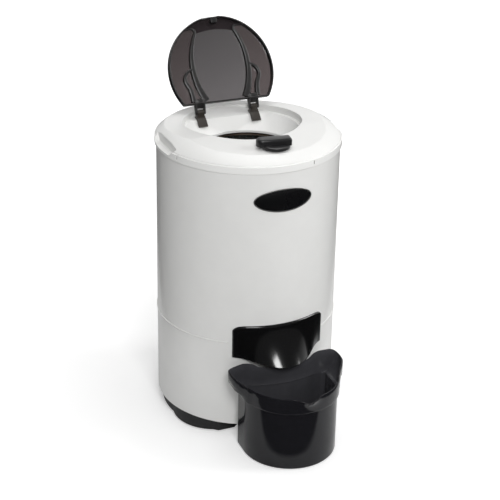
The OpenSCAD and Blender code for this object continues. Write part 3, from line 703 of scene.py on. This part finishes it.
class SPINDRYER_OT_spout(bpy.types.Operator):
    """Shapes the outlet hood: edges flat on the casing, nose swelling out and down"""
    bl_idname = "spindryer.spout"
    bl_label = "Spout"

    def execute(self, context):
        outer = sheet_of("spout_hood", 96, 56, spout_skin(False))
        inner = sheet_of("spout_inside", 96, 56, spout_skin(True))
        hood = merged(closed(joined("spout_hood", outer, inner), bridge=True), 1e-7)
        rounded(hood, 0.5 * mm, 2, 60)
        settle(hood, "housing", finishes["spout"], ["spout"], 50)
        return {"FINISHED"}


# The lid in mm: its middle and its straight side from the hinge line, its rim wall, the hinges to
# each side and the radius of their arms about the pin. It stands open by these degrees.
LID_MIDDLE, LID_STRAIGHT, LID_WALL = 75, 14, 3
HINGE_ASIDE, HINGE_NOSE = 55, 4.5
LID_OPEN = -120


def lid_point(x, s, t):
    """A point of the lid from its place across, away from the hinge and out of the panel, in mm."""
    return Vector((x, -s, t)) * mm


def put_lid(o):
    """Turns a piece drawn flat behind the hinge line into the opened lid's place."""
    choose(o)
    o.rotation_euler = (math.radians(LID_OPEN), 0, 0)
    o.location = LID_HINGE
    bpy.ops.object.transform_apply()


def rib(path, wide, narrow, low=-10.0):
    """A rib of the lid along a path from the hinge side on, tapering, with a rounded crest."""
    line = smooth_path([(x, s, 0) for x, s in path], 4)
    count = len(line) - 1
    section = ((-0.5, -1.2), (-0.5, low + 1.6), (-0.44, low + 0.6), (-0.26, low + 0.1), (0.26, low + 0.1),
               (0.44, low + 0.6), (0.5, low + 1.6), (0.5, -1.2), (-0.5, -1.2))
    sides = len(section) - 1

    def where(u, v):
        i = round(u * count)
        ahead = (line[min(i + 1, count)] - line[max(i - 1, 0)]).normalized()
        share, t = section[round(v * sides)]
        width = wide + (narrow - wide) * (i / count) ** 0.8
        return lid_point(line[i].x + ahead.y * share * width, line[i].y - ahead.x * share * width, t)

    return merged(closed(merged(sheet_of("rib", count, sides, where), 1e-7)), 1e-7)


def arc(across, along, radius, start, end, steps):
    """Points on a circle in the lid's plane, angles from +X towards +S."""
    return [(across + radius * math.cos(math.radians(start + (end - start) * k / steps)),
             along + radius * math.sin(math.radians(start + (end - start) * k / steps)))
            for k in range(steps + 1)]


def lid_shell(radius, depth):
    """The round panel and its rim wall, straight at the hinges, with a shallow V over the lug."""
    clear()
    bpy.ops.mesh.primitive_cylinder_add(vertices=160, radius=radius, depth=depth,
                                        location=(0, -LID_MIDDLE * mm, mm - depth / 2))
    lid = named("lid_shell")
    enter(lid, action="SELECT")
    bpy.ops.mesh.bisect(plane_co=(0, -LID_STRAIGHT * mm, 0), plane_no=(0, 1, 0), use_fill=True,
                        clear_outer=True)
    pick(lid, "FACE", lambda f: f.normal.z < -0.9)
    bpy.ops.mesh.inset(thickness=LID_WALL * mm)
    extrude((0, 0, depth - sizes().lid_panel))
    leave()
    merged(lid)
    dip = ((-25, -14), (-19, -8), (-7, -5), (3, -5), (8, -8), (12, -14))
    cut(lid, prism("notch", [lid_point(x, 176, t) for x, t in dip], lid_point(0, 14, 0)))
    rounded(lid, 0.9 * mm, 3, 40)
    lid.data.materials.append(finishes["smoke_rib"])
    lid.data.materials.append(finishes["smoke"])
    # Only the panel inside the rim wall is thin enough to see through.
    for face in lid.data.polygons:
        x, s = face.center.x / mm, -face.center.y / mm
        flat = abs(face.normal.z) > 0.9 and face.center.z > -3 * mm
        inside = math.hypot(x, s - LID_MIDDLE) < radius / mm - 2.5 and s > LID_STRAIGHT + LID_WALL
        face.material_index = int(flat and inside)
    return lid


def lid_front(radius):
    """The front of the panel, moulded thicker, up to an arch between the two hooked ribs."""
    half, arch, beside = 59, 156.5, 160.5

    def where(u, v):
        x = half * (2 * u - 1)
        back = arch - 5.5 * (x / 39) ** 2 if abs(x) < 40 else beside
        front = LID_MIDDLE + math.sqrt((radius / mm - 2.2) ** 2 - x * x)
        return lid_point(x, back + (front - back) * v, -2.6)
    return finish_with(sheet_of("lid_front", 118, 6, where), "SOLIDIFY", thickness=0.9 * mm, offset=0)


def lid_ribs():
    """On each side the long curved rib, the hook at its front, the loop beside it and the hinge arm."""
    hook = ((40.5, 149), (39.8, 155), (42, 159.5), (48, 161.5), (60, 160.5))
    loop = ((66, 20), (67, 34), (69.5, 46), (74.5, 56), (76, 64), (73, 73), (66, 79.5), (57, 83))
    pieces = []
    for side in (-1, 1):
        for path, *shape in ((arc(*RIB_ARC, -28, 28, 12), 14, 5.6), (hook, 5, 4, -7), (loop, 9.5, 4.5)):
            pieces.append(rib([(side * x, s) for x, s in path], *shape))
    # Two cheeks and a web on each hinge arm, the cheeks rounded about the pin.
    nose = [(-HINGE_NOSE * math.sin(math.radians(a)), HINGE_NOSE * math.cos(math.radians(a)))
            for a in range(10, 190, 15)]
    cheek = [(24, 0.9), *nose, (16, -9.6), (24, -10.4)]
    web = [(7.2, 2.6), (7.2, -5), (16, -8.6), (24, -9.4), (24, 0.7)]
    for hinge in (-HINGE_ASIDE, HINGE_ASIDE):
        for low, high, shape in ((-10, -6.8, cheek), (6.8, 10, cheek), (-7.4, 7.4, web)):
            part = prism("arm", [lid_point(hinge + low, s, t) for s, t in shape],
                         ((high - low) * mm, 0, 0))
            pieces.append(rounded(part, 0.7 * mm, 2, 40))
    return joined("lid_ribs", *pieces)


def latch_lug():
    """A post under the front of the panel with a catch below the rim."""
    outline = ((167, -2), (167, -17), (178, -17), (178, -12.5), (171.5, -11.5), (171, -2))
    return rounded(prism("latch_lug", [lid_point(-7.5, s, t) for s, t in outline], (13 * mm, 0, 0)),
                   0.8 * mm)


class SPINDRYER_OT_lid(bpy.types.Operator):
    """Moulds the smoked lid with its rim wall, curved ribs and hinge cheeks"""
    bl_idname = "spindryer.lid"
    bl_label = "Lid"

    def execute(self, context):
        radius, depth = sizes().lid_radius, sizes().lid_depth
        shell, front, ribs = lid_shell(radius, depth), lid_front(radius), lid_ribs()
        for piece, key, nodes in ((shell, None, ["lid_panel"]), (ribs, "smoke_rib", ()),
                                  (front, "smoke_front", ())):
            put_lid(piece)
            settle(piece, "lid", finishes.get(key), nodes, 34)
        lug = latch_lug()
        put_lid(lug)
        settle(lug, "lid", finishes["lug"], ["lid_latch_lug"])
        return {"FINISHED"}


class SPINDRYER_OT_hinges(bpy.types.Operator):
    """Rounds the two hinge brackets"""
    bl_idname = "spindryer.hinges"
    bl_label = "Hinges"

    def execute(self, context):
        for side in ("left", "right"):
            soften("hinge_bracket_" + side, "hinge_block_" + side, 0.6, "hinge")
        return {"FINISHED"}


# The knob in mm: its place in front of the axis, the height of its seat, and its bar's height,
# rounding, half width and the middle of its round end. The bar stands aslant by these degrees.
KNOB_FRONT, KNOB_SEAT = -126, 575
BAR_HEIGHT, BAR_ROUND, BAR_HALF, BAR_END = 14.5, 6.2, 11, -25
BAR_TURN = -9


class SPINDRYER_OT_knob(bpy.types.Operator):
    """Turns the knob's skirt and shapes its grip bar, round at one end"""
    bl_idname = "spindryer.knob"
    bl_label = "Knob"

    def execute(self, context):
        r = sizes().knob_radius / mm
        profile = [(0.0, 0), (r - 1.2, 0), (r - 0.2, 0.4), (r, 1.4), (r, 3.6), (r - 0.6, 5),
                   (r - 2.2, 5.9), (r - 4.5, 6.2), (0.0, 6.2)]
        skirt = lathed("knob_skirt", [(a * mm, (KNOB_SEAT + z) * mm) for a, z in profile], 96)
        # The bar is pillowed: a cushion with wide round edges, a half circle at its long end.
        end = [(BAR_END - BAR_HALF * math.sin(math.radians(a)), BAR_HALF * math.cos(math.radians(a)))
               for a in range(180, -1, -12)]
        outline = [(29, -6.5), (27.6, -9.6), (24.5, -BAR_HALF), *end,
                   (24.5, BAR_HALF), (27.6, 9.6), (29, 6.5)]
        foot = KNOB_SEAT + 4
        bar = prism("grip_bar", [(x * mm, y * mm, foot * mm) for x, y in outline],
                    (0, 0, BAR_HEIGHT * mm))
        enter(bar, "EDGE")
        pick(bar, "EDGE", lambda e: all(v.co.z > (foot + BAR_HEIGHT / 2) * mm for v in e.verts))
        bpy.ops.mesh.bevel(offset=BAR_ROUND * mm, segments=8, clamp_overlap=False)
        leave()
        merged(bar)
        aslant = Matrix.Rotation(math.radians(BAR_TURN), 3, "Z")
        for piece in (skirt, bar):
            place(piece, lambda p: aslant @ p + Vector((0, KNOB_FRONT * mm, 0)))
        knob = joined("knob", skirt, bar)
        settle(knob, "knob", finishes["knob"], ["control_knob"])
        return {"FINISHED"}


def drum_wall(radius, bottom, top):
    """The perforated wall: one cell with its hole, repeated in rows and wrapped round the axis."""
    columns, rows = 60, 24
    pitch = 2 * math.pi * radius / columns
    rise = (top - bottom) / rows
    clear()
    bpy.ops.mesh.primitive_circle_add(vertices=12, radius=sizes().drum_hole)
    wall = named("drum_wall")
    enter(wall, action="SELECT")
    bpy.ops.mesh.extrude_region_move()
    moved = [v.index for v in bmesh.from_edit_mesh(wall.data).verts if v.select]
    leave()
    # The outer ring of the cell is stretched from a circle to the cell's rectangle.
    for i in moved:
        v = wall.data.vertices[i].co
        big = max(abs(v.x), abs(v.y))
        wall.data.vertices[i].co = (v.x / big * pitch / 2, v.y / big * rise / 2, 0)
    for count, step in ((columns, (pitch, 0, 0)), (rows, (0, rise, 0))):
        finish_with(wall, "ARRAY", count=count, use_relative_offset=False, use_constant_offset=True,
                    constant_offset_displace=step, use_merge_vertices=True, merge_threshold=1e-5)
    inner = radius - mm

    def wrap(p):
        turn = p.x / radius
        return Vector((inner * math.cos(turn), inner * math.sin(turn), bottom + p.y + rise / 2))
    place(wall, wrap)
    merged(wall, 1e-5)
    return finish_with(wall, "SOLIDIFY", thickness=mm, offset=1)


def drum_floor(radius, bottom):
    """The drum's floor, a sheet with one rolled step."""
    middle, edge = 20 * mm, radius - 1.2 * mm
    thick, raised = bottom + mm, bottom + 2.5 * mm
    return lathed("drum_floor", [(middle, bottom), (edge, bottom), (edge, thick), (80 * mm, thick),
                                 (78 * mm, raised), (70 * mm, raised), (68 * mm, thick),
                                 (middle, thick), (middle, bottom)], 96)


class SPINDRYER_OT_drum(bpy.types.Operator):
    """Perforates and rolls the drum basket and turns its rim"""
    bl_idname = "spindryer.drum"
    bl_label = "Drum"

    def execute(self, context):
        low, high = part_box("drum_basket")
        wall = drum_wall(high.x, low.z, high.z)
        drum = joined("perforated_basket", wall, drum_floor(high.x, low.z))
        settle(drum, "drum", finishes["drum"], ["drum_basket"], 40)
        low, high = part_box("drum_rim")
        r, z = high.x / mm, high.z / mm
        profile = [(95, z - 3), (95.3, z - 1.2), (96.6, z - 0.1), (99, z), (120, z - 0.8), (125, z - 1.4),
                   (r - 0.5, z - 2.8), (r, z - 4.4), (r, z - 14), (r - 0.9, z - 14.6), (r - 1.8, z - 14),
                   (r - 1.8, z - 5), (124.5, z - 3.7), (97, z - 2.4), (96, z - 3.4), (95, z - 3)]
        rim = lathed("drum_rolled_rim", [(a * mm, b * mm) for a, b in profile])
        settle(rim, "drum", finishes["drum_rim"], ["drum_rim"])
        return {"FINISHED"}


def smooth_path(points, steps):
    """A rounded line through control points, as many pieces to each."""
    out = []
    for i in range(len(points) - 1):
        p0 = Vector(points[max(i - 1, 0)])
        p1, p2 = Vector(points[i]), Vector(points[i + 1])
        p3 = Vector(points[min(i + 2, len(points) - 1)])
        for k in range(steps):
            t = k / steps
            out.append(0.5 * ((2 * p1) + (p2 - p0) * t + (2 * p0 - 5 * p1 + 4 * p2 - p3) * t * t
                              + (3 * p1 - p0 - 3 * p2 + p3) * t ** 3))
    return out + [Vector(points[-1])]


# The bucket in mm: its place and its turn in degrees, how far the collar and the ears stand out from
# the body, the radius of its hollow back about the drum's axis, half the lip's width, how far the lip
# reaches and dips, and the inset beyond which an outline shrinks evenly.
BUCKET_PLACE, BUCKET_TURN = (3.5, -212, 0), -1.5
COLLAR_OUT, EARS_OUT = 3.5, 21
BUCKET_BACK = 187
LIP_HALF, LIP_REACH, LIP_DIP = 32, 11, 3.5
FLOOR_INSET = 17


def bucket_outline(front, half, inset):
    """Points round the bucket, from the middle of its front round its right side to the back."""
    r, h = front - inset, half - inset
    sweep = math.radians(2.4 if half else 3)
    side = [(r * math.sin(sweep * k), -r * math.cos(sweep * k)) for k in range(30)]
    if half:
        ear = [(r - 5.2, -32 + inset / 2), (r - 1.5, -26 + inset / 2), (h - 13.5, -14 + inset / 2),
               (h - 6.5, -1 + inset / 2), (h - 2, 12), (h, 24), (h, 31), (h - 1.5, 36.5 - inset * 0.7),
               (h - 5.5, 40 - inset), (92, 41 - inset), (82, 41 - inset), (75, 40.5 - inset)]
    else:
        ear = [(r, 0), (r, 6), (r, 12), (r, 18), (r, 24), (r, 28), (r, 32), (r - 1.5, 36.5 - inset * 0.7),
               (r - 5, 39.4 - inset), (r - 8, 40 - inset), (min(80, r - 10), 39.8 - inset)]
    hollow = [(x, -BUCKET_PLACE[1] - math.sqrt((BUCKET_BACK + inset) ** 2 - x * x))
              for x in (66, 55, 44, 33, 22, 11, 0)]
    return [Vector(p) for p in side] + smooth_path(ear + hollow, 3)[(3 if half else 0):]


def eased(value, start, span):
    """A share from 0 at start to 1 a span further on, level at both ends."""
    share = min(1.0, max(0.0, (value - start) / span))
    return share * share * (3 - 2 * share)


def rim_lift(p):
    """How far the rim stands above its front, in mm: up along the ears, lower under the spout."""
    left = min(1.0, max(0.0, (-p.x - 80) / 30))
    right = min(1.0, max(0.0, (p.x - 96) / 15))
    ears = 8 + 8.5 * eased(abs(p.x), 46, 20)
    return eased(p.y, -34, 66) * ears * (1 - 0.4 * left) * (1 - 0.7 * right * right)


def bucket_ring(outline, inset, z, share, collar_foot):
    """One ring of the loft in mm; share is how much of the lip and the raised back it has."""
    front, half = outline
    line = bucket_outline(front, half, inset if half else min(inset, FLOOR_INSET))
    if inset > FLOOR_INSET:
        line = [p * (1 - (inset - FLOOR_INSET) / front) for p in line]
    ring = []
    for p in line + [Vector((-p.x, p.y)) for p in reversed(line[1:-1])]:
        x, height = p.x, z + rim_lift(p) * share
        lip = math.cos(math.pi * x / (2 * LIP_HALF)) ** 2 if abs(x) < LIP_HALF and p.y < 0 else 0.0
        if half:
            # The ears' undersides slant outwards from the collar, and the right ear flares a little.
            widest = 94.5 - 1.3 * inset + max(0.0, height - collar_foot) / 1.1
            x = math.copysign(min(abs(x), widest), x)
            x += 0.3 * max(0.0, x - 95)
        ring.append(Vector((x, p.y - LIP_REACH * lip * share,
                            height - LIP_DIP * lip * max(0.0, share - 0.5) * 2)))
    return ring


def loft(name, rings):
    """A tube through rings of as many points each, closed at both ends, and each ring's vertices."""
    clear()
    step = 0.1
    bpy.ops.mesh.primitive_cylinder_add(vertices=len(rings[0]), radius=0.1, depth=step,
                                        end_fill_type="NOTHING")
    o = named(name)
    enter(o, "EDGE")
    pick(o, "EDGE", lambda e: all(v.co.z > 0 for v in e.verts))
    for _ in range(len(rings) - 2):
        extrude((0, 0, step))
    leave()
    levels = [[] for _ in rings]
    for v in o.data.vertices:
        levels[round((v.co.z + step / 2) / step)].append(v)
    for level, ring in zip(levels, rings):
        level.sort(key=lambda v: math.atan2(v.co.x, -v.co.y) % (2 * math.pi))
        for v, p in zip(level, ring):
            v.co = p * mm
    numbers = [{v.index for v in level} for level in levels]
    return closed(o), numbers


class SPINDRYER_OT_bucket(bpy.types.Operator):
    """Lofts the rinse bucket: round front, wider collar, ears, raised back and pouring lip"""
    bl_idname = "spindryer.bucket"
    bl_label = "Bucket"

    def execute(self, context):
        r, rim, wall = (getattr(sizes(), k) / mm for k in ("bucket_radius", "bucket_rim", "bucket_wall"))
        body, collar = (r, 0), (r + COLLAR_OUT, r + EARS_OUT)
        # Each station: front radius and ear half-width, inset, height, share of lip and raised back.
        out = [(body, 60, 0.6, 0), (body, 12, 0, 0), (body, 4.5, 0, 0), (body, 2.2, 0.7, 0),
               (body, 0.7, 2.4, 0), (body, 0, 5, 0), (body, 0, 40, 0), (body, 0, 80, 0),
               (body, 0, rim - 33, 0), (collar, 0.9, rim - 31, 0), (collar, 0.2, rim - 30.2, 0),
               (collar, 0, rim - 29, 0), (collar, 0, rim - 18, 0.15), (collar, 0, rim - 9, 0.6),
               (collar, 0, rim - 0.9, 1), (collar, 0.4, rim - 0.1, 1)]
        back = [(collar, wall - 0.4, rim - 0.1, 1), (collar, wall, rim - 0.9, 1),
                (collar, wall, rim - 9, 0.6), (collar, wall, rim - 18, 0.15),
                (collar, wall, rim - 28, 0), (collar, wall + 0.5, rim - 28.8, 0),
                (body, wall - 0.2, rim - 30.6, 0), (body, wall, rim - 33, 0), (body, wall, 80, 0),
                (body, wall, 40, 0), (body, wall, 8, 0), (body, wall + 0.9, 5, 0),
                (body, wall + 2.6, 3.4, 0), (body, wall + 5.5, 3, 0), (body, 16, 3, 0),
                (body, 60, 3.2, 0)]
        o, levels = loft("rinse_bucket", [bucket_ring(*station, rim - 31) for station in out + back])
        # The inside is lit through the walls, so its skin is paler than the outside.
        o.data.materials.append(finishes["bucket"])
        o.data.materials.append(finishes["bucket_inside"])
        inside = set().union(*levels[len(out):])
        for face in o.data.polygons:
            face.material_index = int(inside.issuperset(face.vertices))
        choose(o)
        o.rotation_euler = (0, 0, math.radians(BUCKET_TURN))
        o.location = [n * mm for n in BUCKET_PLACE]
        bpy.ops.object.transform_apply()
        merged(o, 1e-7)
        settle(o, "bucket_body", None, ["bucket"], 40)
        return {"FINISHED"}


class SPINDRYER_OT_workings(bpy.types.Operator):
    """Finishes the motor, brake, tub, wiring and small parts that keep the CAD's shapes"""
    bl_idname = "spindryer.workings"
    bl_label = "Workings"

    def execute(self, context):
        for key, nodes in {
                "zinc": ("base_screws", "spout_screws", "motor_plate", "motor_bolts", "brake_pivot",
                         "cable_bracket", "capacitor_clip", "brake_lever", "hinge_pins",
                         "knob_spindle", "latch_arm", "drum_nut"),
                "cast": ("support_posts", "motor_bell_top", "motor_bell_bottom", "capacitor",
                         "brake_drum", "drum_hub"),
                "rubber": ("rubber_mounts", "tub_gasket", "shaft_seal"),
                "core": ("stator_core", "rotor_core"), "copper": ("stator_windings",),
                "steel": ("bearing_upper", "bearing_lower", "brake_spring", "motor_shaft"),
                "tub": ("tub",), "cable": ("brake_cable",), "wire": ("wiring_loom",),
                "ivory": ("terminal_block", "cable_clips", "lid_switch"),
                "base": ("cooling_fan", "cover_clips"), "lining": ("brake_pad",)}.items():
            for node in nodes:
                finish_node(node, finishes[key])
        return {"FINISHED"}


STEPS = (SPINDRYER_OT_stage, SPINDRYER_OT_casing, SPINDRYER_OT_cover, SPINDRYER_OT_spout,
         SPINDRYER_OT_lid, SPINDRYER_OT_hinges, SPINDRYER_OT_knob, SPINDRYER_OT_drum,
         SPINDRYER_OT_bucket, SPINDRYER_OT_workings)


class SPINDRYER_PT_panel(bpy.types.Panel):
    """Lists the steps that build the spin dryer"""
    bl_idname = "SPINDRYER_PT_panel"
    bl_label = "Spin Dryer"
    bl_space_type = "VIEW_3D"
    bl_region_type = "UI"
    bl_category = "Spin Dryer"

    def draw(self, context):
        for step in STEPS:
            self.layout.operator(step.bl_idname)
        for group in (context.scene.spin_dryer_sizes, context.scene.spin_dryer_colours):
            for key in group.__annotations__:
                self.layout.prop(group, key)


CLASSES = (SpinDryerSizes, SpinDryerColours, *STEPS, SPINDRYER_PT_panel)


def register():
    for c in CLASSES:
        bpy.utils.register_class(c)
    bpy.types.Scene.spin_dryer_sizes = bpy.props.PointerProperty(type=SpinDryerSizes)
    bpy.types.Scene.spin_dryer_colours = bpy.props.PointerProperty(type=SpinDryerColours)


def unregister():
    del bpy.types.Scene.spin_dryer_sizes
    del bpy.types.Scene.spin_dryer_colours
    for c in reversed(CLASSES):
        bpy.utils.unregister_class(c)


def main():
    """Builds everything."""
    register()
    make_finishes()
    for step in STEPS:
        getattr(bpy.ops.spindryer, step.bl_idname.split(".")[1])()
    clear()


if __name__ == "__main__":
    main()
